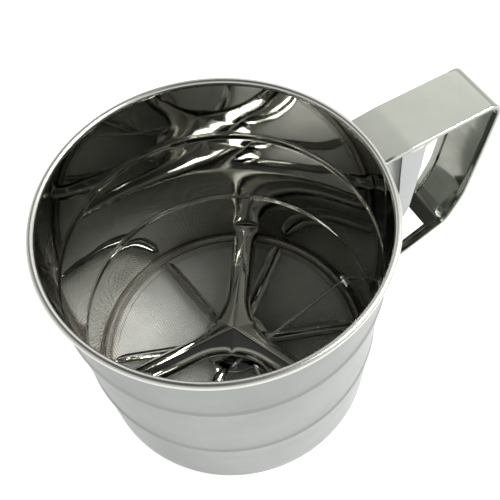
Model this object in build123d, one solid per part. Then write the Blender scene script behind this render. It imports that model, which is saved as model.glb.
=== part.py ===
from build123d import *
import math
import os

# Squeeze-handle flour sifter.  Millimetres, +Z up, cup axis on Z, base on z = 0,
# handle along +X.  The rod drives the agitator when the trigger is squeezed.

# overall sizes
RIM_D = 102.0            # outside of the rolled rim
CUP_H = 88.8             # base to top of the rim
WALL_T = 0.4             # cup sheet
CURL_D = 2.2             # rolled rim tube
HANDLE_OUT = 46.0        # cup wall to the outer top corner of the grip
HANDLE_W = 19.0          # strip width
STRIP_T = 0.8            # handle strip sheet
HEM_W = 2.6              # folded edge width of the strip
BEAD_Z = (30.6, 64.2)    # two rolled beads
BEAD_H = 0.5             # how far a bead stands out
BEAD_W = 4.0             # bead height along the wall

# screen
LIP_W = 3.8              # width of the turned-in base lip
LIP_T = 0.5
SEAT_Z = 1.6             # underside of the screen
SCREEN_T = 0.4
HEM_GAP = 1.6            # wall to where the screen starts to turn up
HEM_TOP_Z = 3.6          # top of the turned-up screen edge
HOOP_D = 0.5             # wire hoop lying on the screen

# bridge and axle
APEX_Z = 16.4            # ridge height over the axis
ARM_END_Z = 11.9         # ridge height at the wall
ARM_W = 9.2
ARM_FLARE_W = 10.0
FLARE_L = 8.8            # length over which an arm widens to its foot
FOOT_DROP = 4.6          # how far each arm end turns down the wall
BOSS_R = 4.6
ARM_ANGLES = (55.0, 175.0, 295.0)
BRIDGE_T = 0.8
RIDGE_DROP = 0.42        # fall of the ridged section per mm off the ridge line
WEB_R = 8.8              # centre to the concave edge between arms
AXLE_R = 2.0
RUN_FIT = 0.05           # radial running clearance
PAD_Z = 13.4             # underside of the bridge boss

# agitator
ROTOR_GAP = 3.4          # wall to the blade tips
HUB_R = 12.5
HUB_Z = 4.2
ROTOR_T = 0.8
BLADES = 6
BLADE_START = -22.0
BLADE_W = 4.4
BLADE_LOW = 2.9
BUSH_R = 3.6

# crank, rod and trigger
CRANK_R = 10.5
CRANK_A = -121.5
ROD_D = 1.2
ROD_Z = 7.2
TAIL_GAP = 17.3          # cup wall to the trigger tail at rest
ROD_END_Y = 2.65
PIVOT_DROP = 5.8         # top of the rim to the pivot
PIN_R = 1.0
TRIG_T = 0.8

WALL_R = RIM_D / 2 - CURL_D + WALL_T  # outside of the wall
BORE_R = WALL_R - WALL_T             # inside of the wall
LIP_IN_R = BORE_R - LIP_W
HEM_IN_R = BORE_R - HEM_GAP
ROTOR_R = BORE_R - ROTOR_GAP
TAIL_X = WALL_R + TAIL_GAP
PIVOT_X = TAIL_X
PIVOT_Z = CUP_H - PIVOT_DROP
HANDLE_REACH = WALL_R + HANDLE_OUT
ARM_TOP = CUP_H - 2.4                # top face of the handle arm at the wall


def put(shape, name):
    os.makedirs("parts", exist_ok=True)
    shape.label = name
    export_step(shape, f"parts/{name}.step")


def ring(r_in, r_out, z0, z1):
    body = Pos(0, 0, z0) * extrude(Circle(r_out), z1 - z0)
    bore = Pos(0, 0, z0 - 1) * extrude(Circle(r_in), z1 - z0 + 2)
    return body - bore


def disc(r, z0, z1, x=0.0, y=0.0):
    return Pos(x, y, z0) * extrude(Circle(r), z1 - z0)


def turned(points):
    face = make_face(Polyline(*points, close=True))
    return revolve(Plane.XZ * face, Axis.Z)


def box(x0, x1, y0, y1, z0, z1):
    centre = ((x0 + x1) / 2, (y0 + y1) / 2, (z0 + z1) / 2)
    return Pos(*centre) * Box(x1 - x0, y1 - y0, z1 - z0)


def slot_x(width, height, x0, x1, y, z):
    """Oblong bar along X: width in Y, height in Z."""
    flat = SlotOverall(width, height) if width > height + 0.01 else Circle(height / 2)
    plane = Plane(origin=(x0, y, z), x_dir=(0, 1, 0), z_dir=(1, 0, 0))
    return extrude(plane * flat, x1 - x0)


# ---- rod line: straight wire from the crank hole to the trigger tail ----
CRANK_X = CRANK_R * math.cos(math.radians(CRANK_A))
CRANK_Y = CRANK_R * math.sin(math.radians(CRANK_A))
ROD_DX = TAIL_X - CRANK_X
ROD_DY = ROD_END_Y - CRANK_Y
ROD_LEN = math.hypot(ROD_DX, ROD_DY)
ROD_SLOPE = ROD_DY / ROD_DX
EYE_Y = CRANK_Y + ROD_SLOPE * (WALL_R - CRANK_X) - 0.77   # middle of the rod's sideways sweep
EYE_W = 5.0
EYE_H = 2.6
EYE_EDGE = 0.5


def bead(r, z):
    """Ring section of a rolled bead standing out from radius r."""
    return turned([(r - 0.2, z - BEAD_W / 2), (r, z - BEAD_W / 2),
                   (r + BEAD_H * 0.7, z - BEAD_W / 5), (r + BEAD_H, z),
                   (r + BEAD_H * 0.7, z + BEAD_W / 5),
                   (r, z + BEAD_W / 2), (r - 0.2, z + BEAD_W / 2)])


def cup_shell():
    """Drawn wall with two rolled beads, turned-in base lip and outward curled rim."""
    curl_z = CUP_H - CURL_D / 2
    shell = disc(WALL_R, 0, curl_z)
    for z in BEAD_Z:
        shell += bead(WALL_R, z)
    hollow = disc(BORE_R, LIP_T, CUP_H) + disc(LIP_IN_R, -1, CUP_H)
    for z in BEAD_Z:
        hollow += bead(BORE_R, z)
    shell -= hollow
    centre = Pos(BORE_R + CURL_D / 2, curl_z)
    tube = revolve(Plane.XZ * (centre * Circle(CURL_D / 2)), Axis.Z)
    core = revolve(Plane.XZ * (centre * Circle(CURL_D / 2 - WALL_T)), Axis.Z)
    shell = shell + tube - core
    neck = EYE_W + 2 * EYE_EDGE
    return shell - slot_x(neck, EYE_H + 2 * EYE_EDGE, WALL_R - 6, WALL_R + 6, EYE_Y, ROD_Z)


def screen_seat():
    return turned([(LIP_IN_R, LIP_T), (BORE_R, LIP_T), (BORE_R, HEM_TOP_Z - SCREEN_T - 0.2),
                   (BORE_R - 0.3, HEM_TOP_Z - SCREEN_T - 0.2), (HEM_IN_R, SEAT_Z),
                   (LIP_IN_R, SEAT_Z)])


def screen_mesh():
    flat = disc(HEM_IN_R, SEAT_Z, SEAT_Z + SCREEN_T)
    edge = turned([(HEM_IN_R - 0.2, SEAT_Z), (HEM_IN_R, SEAT_Z),
                   (BORE_R - 0.3, HEM_TOP_Z - SCREEN_T - 0.2),
                   (BORE_R - 0.3, HEM_TOP_Z), (BORE_R - 0.5, HEM_TOP_Z),
                   (HEM_IN_R - 0.2, SEAT_Z + SCREEN_T)])
    return flat + edge


def screen_hoop():
    r = HEM_IN_R - 0.2 - HOOP_D * 0.55
    flat = Plane.XZ * (Pos(r, SEAT_Z + SCREEN_T + HOOP_D / 2) * Circle(HOOP_D / 2))
    return revolve(flat, Axis.Z)


def screen_collar():
    """Thin spring ring above the screen edge that keeps it down on its seat."""
    return ring(BORE_R - 0.5, BORE_R, HEM_TOP_Z, HEM_TOP_Z + 0.6)


def bridge_outline():
    """Plan of the three arms with round inside corners."""
    plan = Circle(1.0)
    half = ARM_W / 2
    for a in ARM_ANGLES:
        straight = BORE_R - FLARE_L
        arm = Polyline((0, -half), (straight, -half), (BORE_R + 1, -ARM_FLARE_W / 2),
                       (BORE_R + 1, ARM_FLARE_W / 2), (straight, half), (0, half), close=True)
        plan += Rot(0, 0, a) * make_face(arm)
    # a concave arc between neighbouring arms: circle tangent to both arm edges
    s60 = math.sin(math.radians(60))
    rc = (WEB_R * s60 - half) / (1 - s60)
    centre = WEB_R + rc
    reach = centre * math.cos(math.radians(60))
    tips = []
    for a in ARM_ANGLES:
        c = math.cos(math.radians(a))
        s = math.sin(math.radians(a))
        tips.append((reach * c + half * s, reach * s - half * c))
        tips.append((reach * c - half * s, reach * s + half * c))
    fill = make_face(Polyline(*tips, close=True))
    for a in ARM_ANGLES:
        b = math.radians(a + 60)
        fill -= Pos(centre * math.cos(b), centre * math.sin(b)) * Circle(rc)
    return plan + fill


def spider_bridge():
    """Three ridged arms that fall towards the wall, their feet and the boss."""
    slope = (APEX_Z - ARM_END_Z) / BORE_R
    wide = RIM_D / 4
    solid = None
    column = extrude(bridge_outline(), 30)
    for a in ARM_ANGLES:
        drop = RIDGE_DROP * wide
        p = [(-wide, APEX_Z - drop), (0, APEX_Z), (wide, APEX_Z - drop),
             (wide, APEX_Z - drop - BRIDGE_T), (0, APEX_Z - BRIDGE_T),
             (-wide, APEX_Z - drop - BRIDGE_T)]
        plane = Plane(origin=(0, 0, 0), x_dir=(0, 1, 0), z_dir=(1, 0, 0))
        face = plane * make_face(Polyline(*p, close=True))
        slab = extrude(face, amount=BORE_R + 2, dir=(1, 0, -slope))
        spread = RIM_D * math.tan(math.radians(60))
        wedge = make_face(Polyline((0, 0), (RIM_D, spread), (RIM_D, -spread), close=True))
        piece = Rot(0, 0, a) * (slab & extrude(wedge, 30))
        solid = piece if solid is None else solid + piece
    solid = solid & column
    solid = solid & disc(BORE_R, 0, 30)
    for a in ARM_ANGLES:
        tab = ring(BORE_R - BRIDGE_T, BORE_R, ARM_END_Z - FOOT_DROP, ARM_END_Z - BRIDGE_T - 0.1)
        tab = tab & box(BORE_R - 3, BORE_R + 1, -ARM_FLARE_W / 2, ARM_FLARE_W / 2, 0, APEX_Z)
        solid += Rot(0, 0, a) * tab
    top = APEX_Z - BRIDGE_T * 0.6
    side_top = top - RIDGE_DROP * BOSS_R - 0.35
    boss = turned([(0, PAD_Z), (BOSS_R, PAD_Z), (BOSS_R, side_top), (0, top)])
    return solid + boss


AXLE_HEAD_T = 1.0
AXLE_LOW = SEAT_Z + SCREEN_T + 0.5
CLIP_T = 0.5
CLIP_R = 3.8
CLIP_GAP = 1.4            # opening of the snap ring
CLIP_GROOVE = 0.15        # pin end to the clip
WASHER_T = 0.4
WASHER_R = 3.9
AXLE_HEAD_R = 3.4


def axle_pin():
    head = disc(AXLE_HEAD_R, PAD_Z - AXLE_HEAD_T, PAD_Z)
    return head + disc(AXLE_R, AXLE_LOW, PAD_Z)


def axle_clip():
    z0 = AXLE_LOW + CLIP_GROOVE
    body = ring(AXLE_R, CLIP_R, z0, z0 + CLIP_T)
    return body - box(0, 5, -CLIP_GAP / 2, CLIP_GAP / 2, z0 - 1, z0 + 2)


def washer(z0):
    return ring(AXLE_R + 0.15, WASHER_R, z0, z0 + WASHER_T)


CLIP_TOP = AXLE_LOW + CLIP_GROOVE + CLIP_T
BUSH_LOW = CLIP_TOP + WASHER_T + 0.05
BUSH_TOP = PAD_Z - AXLE_HEAD_T - WASHER_T - 0.1


def rotor_bush():
    low = ring(AXLE_R + RUN_FIT, BUSH_R, BUSH_LOW, BUSH_TOP)
    return low + ring(AXLE_R + RUN_FIT, 5.4, HUB_Z + ROTOR_T, HUB_Z + ROTOR_T + 0.8)


def agitator_rotor():
    """Stamped disc with six twisted scraper blades."""
    body = disc(HUB_R, HUB_Z, HUB_Z + ROTOR_T)
    high = HUB_Z + ROTOR_T + 0.4
    half = BLADE_W / 2
    rise = high - ROTOR_T - BLADE_LOW
    for i in range(BLADES):
        a = BLADE_START + i * 360.0 / BLADES
        sec = [(-half, BLADE_LOW), (0, BLADE_LOW + rise * 0.62), (half, high - ROTOR_T),
               (half, high), (0, BLADE_LOW + rise * 0.62 + ROTOR_T), (-half, BLADE_LOW + ROTOR_T)]
        plane = Plane(origin=(HUB_R - 2.5, 0, 0), x_dir=(0, 1, 0), z_dir=(1, 0, 0))
        bar = extrude(plane * make_face(Polyline(*sec, close=True)), ROTOR_R - HUB_R + 2.5)
        plan = make_face(Polyline((HUB_R - 2.5, -half), (ROTOR_R - 5, -half), (ROTOR_R, -half * 0.45),
                                  (ROTOR_R, half * 0.45), (ROTOR_R - 5, half),
                                  (HUB_R - 2.5, half), close=True))
        body += Rot(0, 0, a) * (bar & extrude(plan, 12))
    body -= disc(BUSH_R, 0, 20)
    body -= disc(ROD_D / 2 + RUN_FIT, 0, 20, CRANK_X, CRANK_Y)
    return body


def crank_eyelet():
    r = ROD_D / 2 + RUN_FIT
    top = HUB_Z + ROTOR_T
    eye = disc(1.25, top, top + 0.5, CRANK_X, CRANK_Y)
    return eye - disc(r, top - 1, top + 2, CRANK_X, CRANK_Y)


def sweep_wire(path, diameter):
    start = path @ 0
    direction = path % 0
    profile = Plane(origin=start, z_dir=direction) * Circle(diameter / 2)
    return sweep(profile, path=path)


BEND_R = 1.3
WASHER_GAP = 0.4


def push_rod():
    c = ROD_DX / ROD_LEN
    s = ROD_DY / ROD_LEN
    out = ROD_LEN + TRIG_T / 2 + WASHER_GAP + 0.5 + BEND_R + 0.6
    pts = [(CRANK_X, CRANK_Y, HUB_Z - 0.9), (CRANK_X, CRANK_Y, ROD_Z),
           (CRANK_X + c * out, CRANK_Y + s * out, ROD_Z),
           (CRANK_X + c * out, CRANK_Y + s * out, ROD_Z - 4.2)]
    path = FilletPolyline(*pts, radius=BEND_R)
    return sweep_wire(path, ROD_D)


def rod_stop():
    """Collar pressed on the rod end, under the hub disc, so the wire can't lift out."""
    z1 = HUB_Z - 0.1
    ringlet = disc(1.35, z1 - 0.7, z1, CRANK_X, CRANK_Y)
    return ringlet - disc(ROD_D / 2, 0, 9, CRANK_X, CRANK_Y)


def wall_eyelet():
    w = EYE_W + 2 * EYE_EDGE
    h = EYE_H + 2 * EYE_EDGE
    big_w = w + 1.0
    big_h = h + 1.0
    x0 = WALL_R - 5
    x1 = WALL_R + 5
    inner = slot_x(big_w, big_h, x0, x1, EYE_Y, ROD_Z) & ring(BORE_R - 0.4, BORE_R, 0, 20)
    outer = slot_x(big_w, big_h, x0, x1, EYE_Y, ROD_Z) & ring(WALL_R, WALL_R + 0.4, 0, 20)
    neck = slot_x(w, h, x0, x1, EYE_Y, ROD_Z) & ring(BORE_R - 0.4, WALL_R + 0.4, 0, 20)
    return inner + outer + neck - slot_x(EYE_W, EYE_H, x0, x1, EYE_Y, ROD_Z)


# handle strip: outer face points (x, z) and corner radii, from the wall round to the wall
TAB_TOP_LOW = ARM_TOP - 14.4
LOW_TAB_Z = 15.4
KNEE = (WALL_R + 10.8, CUP_H - 1.25)   # where the arm levels out
OUT_TOP = CUP_H - 0.7         # top face of the arm at its outer end
GRIP = ((HANDLE_REACH - 1.0, ARM_TOP - 16.4), (HANDLE_REACH - 3.2, 43.0), (HANDLE_REACH - 8.2, 30.6))
STRIP_LINE = ((WALL_R, TAB_TOP_LOW), (WALL_R, ARM_TOP), KNEE, (HANDLE_REACH, OUT_TOP),
              GRIP[0], GRIP[1], GRIP[2], (WALL_R, LOW_TAB_Z), (WALL_R, LOW_TAB_Z + 9.0))
STRIP_BENDS = (1.8, 30.0, 5.5, 24.0, 24.0, 8.0, 3.0)


def rounded(points, radii):
    """Open line through points with a round corner of its own radius at each."""
    parts = []
    last = Vector(*points[0])
    for i in range(1, len(points) - 1):
        a = Vector(*points[i - 1])
        b = Vector(*points[i])
        c = Vector(*points[i + 1])
        u = (a - b).normalized()
        v = (c - b).normalized()
        ang = math.acos(max(-1.0, min(1.0, u.dot(v))))
        reach = radii[i - 1] / math.tan(ang / 2)
        t0 = b + u * reach
        t1 = b + v * reach
        way = (u + v).normalized()
        mid = b + way * (radii[i - 1] / math.sin(ang / 2) - radii[i - 1])
        parts.append(Line(last, t0))
        parts.append(ThreePointArc(t0, mid, t1))
        last = t1
    parts.append(Line(last, Vector(*points[-1])))
    return parts


def strip_band(depth):
    """Region between the outer face of the strip and a line depth further in."""
    corners = [Vector(*p) for p in STRIP_LINE]
    ways = [(b - a).normalized() for a, b in zip(corners, corners[1:])]
    normals = [Vector(d.Y, -d.X) for d in ways]
    inner = [corners[0] + normals[0] * depth]
    for corner, n0, n1 in zip(corners[1:-1], normals, normals[1:]):
        m = (n0 + n1).normalized()
        inner.append(corner + m * (depth / m.dot(n0)))
    inner.append(corners[-1] + normals[-1] * depth)
    outer_line = rounded([(v.X, v.Y) for v in corners], STRIP_BENDS)
    inner_line = rounded([(v.X, v.Y) for v in inner], [r - depth for r in STRIP_BENDS])
    ends = [Line(corners[k], inner[k]) for k in (0, -1)]
    return make_face(Wire(edges=outer_line + inner_line + ends))


def across(face, width):
    """Face drawn in X and Z, given width in Y about the middle."""
    return extrude(Plane.XZ * face, width / 2, both=True)


SLOT_X0 = TAIL_X - 4.5
SLOT_X1 = TAIL_X + 13.5
SLOT_W = 10.6


def handle_strip():
    """Bent strip with its edges folded inward and a slot for the trigger's tail."""
    web = across(strip_band(STRIP_T), HANDLE_W)
    double = strip_band(2 * STRIP_T)
    hem = across(double, HANDLE_W) - across(double, HANDLE_W - 2 * HEM_W)
    hem &= box(WALL_R + 3, HANDLE_REACH, -HANDLE_W, HANDLE_W, 0, CUP_H)
    solid = web + hem
    solid &= box(0, HANDLE_REACH, -HANDLE_W, HANDLE_W, 0, CUP_H) - disc(WALL_R, -1, CUP_H)
    solid -= box(SLOT_X0, SLOT_X1, -SLOT_W / 2, SLOT_W / 2, 5, 32)
    return solid


BRACKET_T = 0.8
CHEEK_OUT = HANDLE_W / 2 - HEM_W - 0.15
CHEEK_IN = CHEEK_OUT - BRACKET_T


def arm_under(x):
    """Height of the underside of the top arm at x."""
    rise = (OUT_TOP - KNEE[1]) / (HANDLE_REACH - KNEE[0])
    return KNEE[1] - STRIP_T - 0.002 + rise * (x - KNEE[0])


def pivot_bracket():
    """Folded saddle under the top arm, with two cheeks that carry the pin."""
    x0 = PIVOT_X - 4.5
    x1 = PIVOT_X + 4.5
    inner = CHEEK_OUT
    z0 = arm_under(x0)
    z1 = arm_under(x1)
    top = make_face(Polyline((x0, z0), (x1, z1), (x1, z1 - BRACKET_T), (x0, z0 - BRACKET_T),
                             close=True))
    plate = across(top, 2 * inner)
    cheek = make_face(Polyline((x0, z0 - 0.1), (x1, z1 - 0.1), (x1, PIVOT_Z),
                               (PIVOT_X + 2.2, PIVOT_Z - 2.6), (PIVOT_X - 2.2, PIVOT_Z - 2.6),
                               (x0, PIVOT_Z), close=True))
    cheeks = across(cheek, 2 * inner) - across(cheek, 2 * inner - 2 * BRACKET_T)
    hole = Plane.XZ * (Pos(PIVOT_X, PIVOT_Z) * Circle(PIN_R))
    return plate + cheeks - extrude(hole, 20, both=True)


def pin_y(r, y0, y1):
    flat = Plane.XZ * (Pos(PIVOT_X, PIVOT_Z) * Circle(r))
    return Pos(0, y1, 0) * extrude(flat, y1 - y0)


def pivot_pin():
    head = pin_y(1.8, -CHEEK_OUT - 0.7, -CHEEK_OUT)
    return head + pin_y(PIN_R, -CHEEK_OUT - 0.1, CHEEK_OUT + 0.9)


def pin_clip():
    return pin_y(1.9, CHEEK_OUT, CHEEK_OUT + 0.5) - pin_y(PIN_R, CHEEK_OUT - 1, CHEEK_OUT + 2)


SPACER_T = 0.5
TRIG_OUT = CHEEK_IN - SPACER_T - 0.1


def spacer(side):
    y0 = CHEEK_IN - SPACER_T
    lo = side * y0 if side > 0 else -CHEEK_IN
    return pin_y(2.0, lo, lo + SPACER_T) - pin_y(PIN_R, lo - 1, lo + 2)


TRIG_FOOT_Z = 36.0
WAIST_Z = 47.0            # where the channel starts to lean out
TAIL_LOW = 3.2
TAIL_W = 9.2
WINDOW_Y = 1.88           # middle of the rod window in the tail
WINDOW_W = 3.5


def trigger_lever():
    """Tapered channel: web towards the cup, sides towards the grip, flat tail below."""
    half = TRIG_OUT
    front = [(PIVOT_X - 5.6, PIVOT_Z - 4.5), (PIVOT_X - 4.5, PIVOT_Z - 15.0), (PIVOT_X - 1.9, WAIST_Z),
             (TAIL_X - TRIG_T / 2, TRIG_FOOT_Z)]
    tail = [(TAIL_X - TRIG_T / 2, TAIL_LOW), (TAIL_X + TRIG_T / 2, TAIL_LOW)]
    back = [(TAIL_X + TRIG_T / 2, TRIG_FOOT_Z), (PIVOT_X - 1.9 + TRIG_T, WAIST_Z + 0.1),
            (PIVOT_X - 4.5 + TRIG_T, PIVOT_Z - 14.9), (PIVOT_X - 5.6 + TRIG_T, PIVOT_Z - 4.5)]
    web = front + tail + back
    sides = front + [(TAIL_X + TRIG_T / 2, TRIG_FOOT_Z), (PIVOT_X + 3.1, WAIST_Z - 1.0),
                     (PIVOT_X + 3.7, PIVOT_Z - 14.0), (PIVOT_X + 3.9, PIVOT_Z - 2.5),
                     (PIVOT_X + 2.4, PIVOT_Z + 0.6), (PIVOT_X + 1.3, PIVOT_Z + 1.4),
                     (PIVOT_X - 1.3, PIVOT_Z + 1.4), (PIVOT_X - 3.9, PIVOT_Z - 0.6)]
    plate = across(make_face(Polyline(*web, close=True)), 2 * half)
    block = make_face(Polyline(*sides, close=True))
    walls = across(block, 2 * half) - across(block, 2 * half - 2 * TRIG_T)
    body = plate + walls
    # plan taper: full width above, narrowing to the tail
    wide_z = PIVOT_Z - 23.0
    taper = make_face(Polyline((-half, CUP_H), (half, CUP_H), (half, wide_z),
                               (TAIL_W / 2, TRIG_FOOT_Z - 2), (TAIL_W / 2, 0), (-TAIL_W / 2, 0),
                               (-TAIL_W / 2, TRIG_FOOT_Z - 2), (-half, wide_z), close=True))
    plane = Plane(origin=(PIVOT_X - 11.5, 0, 0), x_dir=(0, 1, 0), z_dir=(1, 0, 0))
    keep = extrude(plane * taper, 30)
    body = body & keep
    for side in (-1, 1):
        flap = make_face(Polyline((side * half, wide_z), (side * TAIL_W / 2, TRIG_FOOT_Z - 2),
                                  (side * (TAIL_W / 2 - TRIG_T), TRIG_FOOT_Z - 2),
                                  (side * (half - TRIG_T), wide_z), close=True))
        body += extrude(plane * flap, 30) & across(block, 40)
    body -= pin_y(PIN_R + RUN_FIT, -20, 20)
    window = box(TAIL_X - 3, TAIL_X + 3, WINDOW_Y - WINDOW_W / 2,
                 WINDOW_Y + WINDOW_W / 2, ROD_Z - 1.6, ROD_Z + 1.0)
    body -= window
    return body


SPRING_D = 0.7
SPRING_R = 2.0
SPRING_TURNS = 4.0


def trigger_spring():
    """Torsion coil round the pivot pin with two straight legs."""
    pitch = SPRING_D + 0.25
    coil = Helix(pitch, pitch * SPRING_TURNS, SPRING_R)
    profile = Plane(origin=coil @ 0, z_dir=coil % 0) * Circle(SPRING_D / 2)
    body = sweep(profile, path=coil, is_frenet=True)
    body = Rot(90, 0, 0) * body
    body = Pos(PIVOT_X, pitch * SPRING_TURNS / 2, PIVOT_Z) * body
    ends = pitch * SPRING_TURNS / 2
    top = PIVOT_Z + SPRING_R
    fixed = Line((PIVOT_X, ends, top), (PIVOT_X - 8.0, ends, top + 0.3))
    moving = Line((PIVOT_X - SPRING_R, -ends, PIVOT_Z), (PIVOT_X - 3.4, -ends, PIVOT_Z - 9.0))
    body += sweep_wire(fixed, SPRING_D)
    return body + sweep_wire(moving, SPRING_D)


def rod_washer():
    """Washer on the rod outside the trigger tail."""
    x = TAIL_X + TRIG_T / 2 + WASHER_GAP
    y = CRANK_Y + ROD_SLOPE * (x + 0.25 - CRANK_X)
    ringlet = slot_x(3.4, 3.4, x, x + 0.5, y, ROD_Z)
    return ringlet - slot_x(ROD_D + 0.3, ROD_D + 0.3, x - 1, x + 2, y, ROD_Z)


put(cup_shell(), "cup_shell")
put(screen_seat(), "screen_seat")
put(screen_mesh(), "screen_mesh")
put(screen_hoop(), "screen_hoop")
put(screen_collar(), "screen_collar")
put(spider_bridge(), "spider_bridge")
put(axle_pin(), "axle_pin")
put(axle_clip(), "axle_clip")
put(washer(PAD_Z - AXLE_HEAD_T - WASHER_T), "axle_washer_top")
put(washer(CLIP_TOP), "axle_washer_base")
put(rotor_bush(), "rotor_bush")
put(agitator_rotor(), "agitator_rotor")
put(crank_eyelet(), "crank_eyelet")
put(push_rod(), "push_rod")
put(rod_stop(), "rod_stop")
put(rod_washer(), "rod_washer")
put(wall_eyelet(), "wall_eyelet")
put(handle_strip(), "handle_strip")
put(pivot_bracket(), "pivot_bracket")
put(pivot_pin(), "pivot_pin")
put(pin_clip(), "pin_clip")
put(spacer(-1), "spacer_right")
put(spacer(1), "spacer_left")
put(trigger_lever(), "trigger_lever")
put(trigger_spring(), "trigger_spring")
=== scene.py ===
"""Looks of a squeeze-handle flour sifter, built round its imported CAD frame.

Every sub-assembly is a class with its sizes in millimetres.  Shapes are
surfaces worked out as whole numpy arrays and scaled to metres when the mesh
is made.  +Z is up, the cup's axis is Z and the handle points along +X.
"""
import logging
import math
from dataclasses import dataclass, field
from enum import Enum
from typing import Callable, Sequence

import bmesh
import bpy
import numpy as np
from mathutils import Matrix, Vector

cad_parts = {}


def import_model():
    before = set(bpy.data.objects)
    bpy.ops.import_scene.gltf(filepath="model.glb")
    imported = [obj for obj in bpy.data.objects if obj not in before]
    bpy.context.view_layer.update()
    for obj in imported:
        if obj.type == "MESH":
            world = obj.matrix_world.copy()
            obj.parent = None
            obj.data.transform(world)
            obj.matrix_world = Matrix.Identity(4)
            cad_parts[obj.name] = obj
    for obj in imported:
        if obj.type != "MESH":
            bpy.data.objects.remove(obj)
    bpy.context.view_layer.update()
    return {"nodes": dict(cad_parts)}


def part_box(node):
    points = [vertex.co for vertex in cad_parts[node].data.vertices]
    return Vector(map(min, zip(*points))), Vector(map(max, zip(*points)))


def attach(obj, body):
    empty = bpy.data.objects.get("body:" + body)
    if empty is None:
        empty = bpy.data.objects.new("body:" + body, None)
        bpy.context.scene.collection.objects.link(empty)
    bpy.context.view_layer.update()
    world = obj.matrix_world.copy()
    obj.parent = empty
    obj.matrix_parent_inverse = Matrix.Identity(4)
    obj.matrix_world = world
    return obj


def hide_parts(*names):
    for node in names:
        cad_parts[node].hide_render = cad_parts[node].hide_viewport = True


LOG = logging.getLogger("sifter")
MM = 0.001
CORNER_PAST = 0.32     # the handle's sharp corner point stands this far past its rounded band, in mm
TAIL_X = 66.5          # where the trigger's tail stands, in mm
ROD_Z = 7.2            # height of the rod, in mm
Array = np.ndarray
Pair = tuple[float, float]


class Lay(Enum):
    """Direction in which a finish's fine scratches run."""

    AROUND = "around"      # round the cup's axis
    ALONG_X = "along_x"
    ALONG_Z = "along_z"
    EVEN = "even"


@dataclass(frozen=True)
class Finish:
    """One metal finish.

    Attributes:
        name: material name.
        slot: the record's material slot.
        color: base colour; the bare metal's own, except in the lighter or darker copies that carry painted
            light or painted shade.
        rough: roughness of the cleanest spots.
        smudge: how much smudges and grain add to the roughness.
        dull: share by which dull patches darken the colour.
        lay: direction of the scratches.
        grain: scratches per millimetre across the lay.
        bump: depth of the scratches in millimetres.
        waves: depth in millimetres of the slow press waves in the sheet.
    """

    name: str
    slot: str
    color: tuple[float, float, float]
    rough: float
    smudge: float
    dull: float
    lay: Lay = Lay.EVEN
    grain: float = 4.0
    bump: float = 0.001
    waves: float = 0.0


SATIN_OUT = Finish("cup_satin", "cup_steel", (0.266, 0.28, 0.267), 0.28, 0.08, 0.05, Lay.AROUND, bump=0.004)
BRIGHT_IN = Finish("cup_bright", "cup_steel", (0.50, 0.50, 0.465), 0.022, 0.03, 0.10, Lay.AROUND,
                   grain=3.0, bump=0.0005, waves=0.22)
# Rolled rim: a lighter copy of the cup steel, painted light standing in for overhead light on the rim.
RIM_PAINTED_LIGHT = Finish("rim_satin", "cup_steel", (0.66, 0.665, 0.62), 0.22, 0.06, 0.05, Lay.AROUND)
HANDLE_STEEL = Finish("handle_bright", "handle_steel", (0.50, 0.515, 0.465), 0.16, 0.07, 0.08,
                      Lay.ALONG_X, bump=0.0015, waves=0.01)
# Inward face and folds of the handle strip: a darker copy of the handle steel, painted shade and painted dark
# reflection.
HANDLE_INSIDE_SHADE = Finish("handle_inside", "handle_steel", (0.31, 0.32, 0.275), 0.07, 0.05, 0.30,
                       Lay.ALONG_X, bump=0.0008, waves=0.12)
BRIDGE_STEEL = Finish("bridge_mirror", "bridge_steel", (0.42, 0.42, 0.39), 0.045, 0.03, 0.10,
                      grain=0.6, bump=0.0004, waves=0.006)
BLADE_STEEL = Finish("blade_bright", "blade_steel", (0.40, 0.40, 0.37), 0.09, 0.05, 0.15,
                     grain=0.8, bump=0.0006, waves=0.004)
WIRE_STEEL = Finish("screen_wire", "screen_wire", (0.82, 0.82, 0.78), 0.42, 0.12, 0.20, grain=1.0)
# Turned-up edge of the screen: a darker copy of the wire steel, painted shade in the corner at the foot of
# the wall.
WIRE_EDGE_SHADE = Finish("screen_edge", "screen_wire", (0.26, 0.225, 0.185), 0.40, 0.12, 0.30, grain=1.0)
# Hoop and collar: a near-black copy of the ring steel, painted shade in the corner at the foot of the wall.
RING_SHADE = Finish("ring_steel", "ring_steel", (0.15, 0.135, 0.11), 0.45, 0.12, 0.30, Lay.AROUND, bump=0.002)
SEAT_STEEL = Finish("seat_steel", "ring_steel", (0.40, 0.395, 0.37), 0.50, 0.10, 0.20, Lay.AROUND, bump=0.002)
PIN_STEEL = Finish("pin_steel", "pin_steel", (0.66, 0.66, 0.64), 0.14, 0.06, 0.15)
TRIGGER_STEEL = Finish("trigger_satin", "trigger_steel", (0.40, 0.41, 0.405), 0.22, 0.08, 0.06,
                       Lay.ALONG_Z, bump=0.002)
SPRING_STEEL = Finish("spring_wire", "spring_wire", (0.46, 0.46, 0.44), 0.24, 0.08, 0.20, grain=5.0)


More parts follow.
